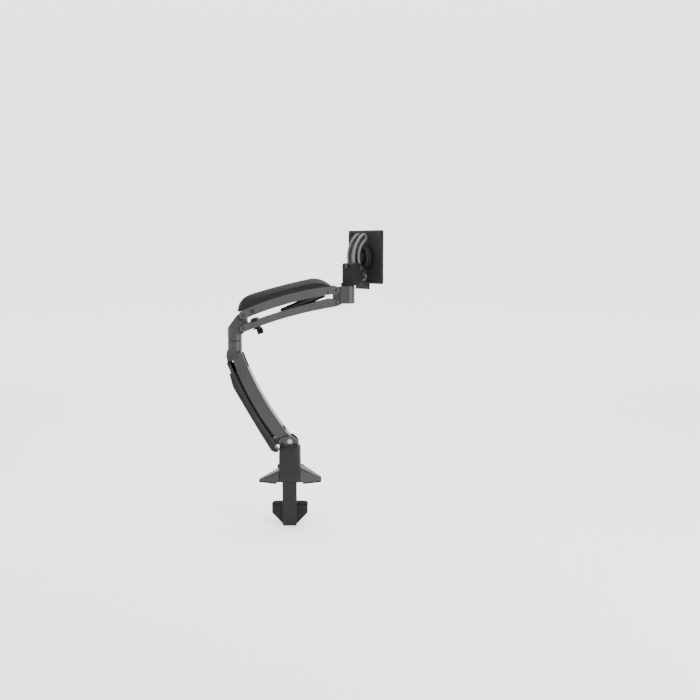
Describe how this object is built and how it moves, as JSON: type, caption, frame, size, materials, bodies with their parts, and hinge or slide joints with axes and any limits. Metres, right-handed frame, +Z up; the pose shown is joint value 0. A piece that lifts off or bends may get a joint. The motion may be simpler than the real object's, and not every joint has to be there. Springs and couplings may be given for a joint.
{
  "type": "monitor arm",
  "caption": "Desk-clamp monitor arm: two parallelogram links, swivel elbow, tilting and rolling square mounting plate.",
  "frame": {"origin": "on the desk-top contact face under the axis of the base swivel", "axes": "+Z up; +X along the desk edge, the way the upper arm reaches; +Y from the desk edge over the desk"},
  "size_m": [0.3414, 0.101, 0.6477],
  "materials": {
    "paint": "satin powder coat",
    "dark_paint": "satin powder coat",
    "cover": "fine grained moulding",
    "black_plastic": "smooth matte",
    "rubber": "matte",
    "black_steel": "black oxide",
    "bright_steel": "ground",
    "zinc": "plated and lacquered"
  },
  "bodies": {
    "base": {"base_column": "dark_paint", "base_foot": "paint", "foot_pad": "rubber", "foot_screw_left": "zinc", "foot_screw_right": "zinc", "swivel_bush": "black_plastic"},
    "clamp": {"clamp_strip": "dark_paint", "clamp_nut": "zinc", "clamp_jaw": "dark_paint", "jaw_pad": "rubber", "jaw_screw_upper": "black_steel", "jaw_screw_lower": "black_steel"},
    "clamp_drive": {"clamp_screw": "zinc"},
    "turret": {"swivel_turret": "paint", "lower_main_pin": "bright_steel", "lower_outer_pin": "black_steel"},
    "lower_link": {"lower_main_link": "paint", "lower_spring_cylinder": "black_steel", "lower_spring_pin": "black_steel"},
    "lower_rod": {"lower_spring_rod": "bright_steel"},
    "outer_link": {"lower_outer_link": "paint", "lower_cover": "cover"},
    "elbow_base": {"elbow_knuckle_lower": "paint", "elbow_main_pin": "black_steel", "elbow_outer_pin": "black_steel", "elbow_shaft": "bright_steel", "elbow_bush": "black_plastic"},
    "elbow_head": {"elbow_knuckle_upper": "paint", "upper_main_pin": "black_steel", "support_pin_near": "black_steel", "support_pin_far": "black_steel", "tension_saddle": "zinc", "tension_screw": "bright_steel"},
    "upper_beam": {"upper_link": "paint", "upper_cover": "cover", "gas_strut_pin": "black_steel"},
    "strut": {"gas_strut_cylinder": "black_steel"},
    "strut_rod": {"gas_strut_rod": "bright_steel"},
    "support": {"support_link": "paint", "cable_clip": "black_plastic"},
    "end": {"end_knuckle": "paint", "end_main_pin": "black_steel", "end_support_pin": "black_steel", "head_bush": "black_plastic"},
    "yoke": {"head_yoke": "dark_paint", "tilt_pin_upper": "bright_steel", "tilt_pin_lower": "bright_steel", "yoke_screw": "black_steel"},
    "tilt": {"tilt_flange_near": "zinc", "tilt_flange_far": "zinc", "tilt_hub": "dark_paint"},
    "plate": {"monitor_plate": "dark_paint", "lock_tab": "dark_paint", "lock_screw": "black_steel", "monitor_screw_upper_near": "black_steel", "monitor_screw_upper_far": "black_steel", "monitor_screw_lower_near": "black_steel", "monitor_screw_lower_far": "black_steel"}
  },
  "joints": [
    {"name": "clamp_slide", "type": "slide", "parent": "base", "child": "clamp", "axis": [0, 0, 1], "range_m": [-0.02, 0.03]},
    {"name": "clamp_screw_turn", "type": "hinge", "parent": "base", "child": "clamp_drive", "pos_m": [0, -0.0125, 0.05], "axis": [0, 0, 1], "continuous": true},
    {"name": "base_swivel", "type": "hinge", "parent": "base", "child": "turret", "pos_m": [0, 0, 0.084], "axis": [0, 0, 1], "range_deg": [-180, 180]},
    {"name": "lower_lift", "type": "hinge", "parent": "turret", "child": "lower_link", "pos_m": [0.001, 0, 0.095], "axis": [0, 1, 0], "range_deg": [0, 45]},
    {"name": "outer_link_turn", "type": "hinge", "parent": "turret", "child": "outer_link", "pos_m": [-0.0163, 0, 0.0924], "axis": [0, 1, 0], "range_deg": [0, 45]},
    {"name": "lower_rod_slide", "type": "slide", "parent": "lower_link", "child": "lower_rod", "axis": [0.5176, 0, -0.8556], "range_m": [0, 0.008]},
    {"name": "elbow_level", "type": "hinge", "parent": "lower_link", "child": "elbow_base", "pos_m": [-0.11199, 0, 0.28179], "axis": [0, 1, 0], "range_deg": [-45, 0]},
    {"name": "elbow_swivel", "type": "hinge", "parent": "elbow_base", "child": "elbow_head", "pos_m": [-0.1184, 0, 0.3165], "axis": [0, 0, 1], "range_deg": [-180, 180]},
    {"name": "upper_lift", "type": "hinge", "parent": "elbow_head", "child": "upper_beam", "pos_m": [-0.098, 0, 0.372], "axis": [0, -1, 0], "range_deg": [-50, 20]},
    {"name": "support_turn", "type": "hinge", "parent": "elbow_head", "child": "support", "pos_m": [-0.098, 0, 0.344], "axis": [0, -1, 0], "range_deg": [-50, 20]},
    {"name": "strut_swing", "type": "hinge", "parent": "upper_beam", "child": "strut", "pos_m": [0.08527, 0, 0.42214], "axis": [0, -1, 0], "range_deg": [-2, 1]},
    {"name": "strut_rod_slide", "type": "slide", "parent": "strut", "child": "strut_rod", "axis": [-0.9172, 0, -0.3983], "range_m": [-0.0215, 0.009]},
    {"name": "end_level", "type": "hinge", "parent": "upper_beam", "child": "end", "pos_m": [0.10301, 0, 0.42699], "axis": [0, -1, 0], "range_deg": [-20, 50]},
    {"name": "head_swivel", "type": "hinge", "parent": "end", "child": "yoke", "pos_m": [0.1282, 0, 0.4346], "axis": [0, 0, 1], "range_deg": [-126, 54]},
    {"name": "head_tilt", "type": "hinge", "parent": "yoke", "child": "tilt", "pos_m": [0.18042, 0.04229, 0.497], "axis": [0.6293, -0.7771, 0], "range_deg": [-10, 75]},
    {"name": "plate_roll", "type": "hinge", "parent": "tilt", "child": "plate", "pos_m": [0.1683, 0.03247, 0.497], "axis": [0.7771, 0.6293, 0], "range_deg": [-90, 90]}
  ],
  "couplings": [
    {"joint": "clamp_screw_turn", "follows": "clamp_slide", "rad_per_m": 5026.5},
    {"joint": "outer_link_turn", "follows": "lower_lift", "ratio": 1},
    {"joint": "lower_rod_slide", "follows": "lower_lift", "m_per_rad": 0.0098},
    {"joint": "elbow_level", "follows": "lower_lift", "ratio": -1},
    {"joint": "support_turn", "follows": "upper_lift", "ratio": 1},
    {"joint": "strut_swing", "follows": "upper_lift", "ratio": 0.031},
    {"joint": "strut_rod_slide", "follows": "upper_lift", "m_per_rad": 0.0242},
    {"joint": "end_level", "follows": "upper_lift", "ratio": -1}
  ]
}
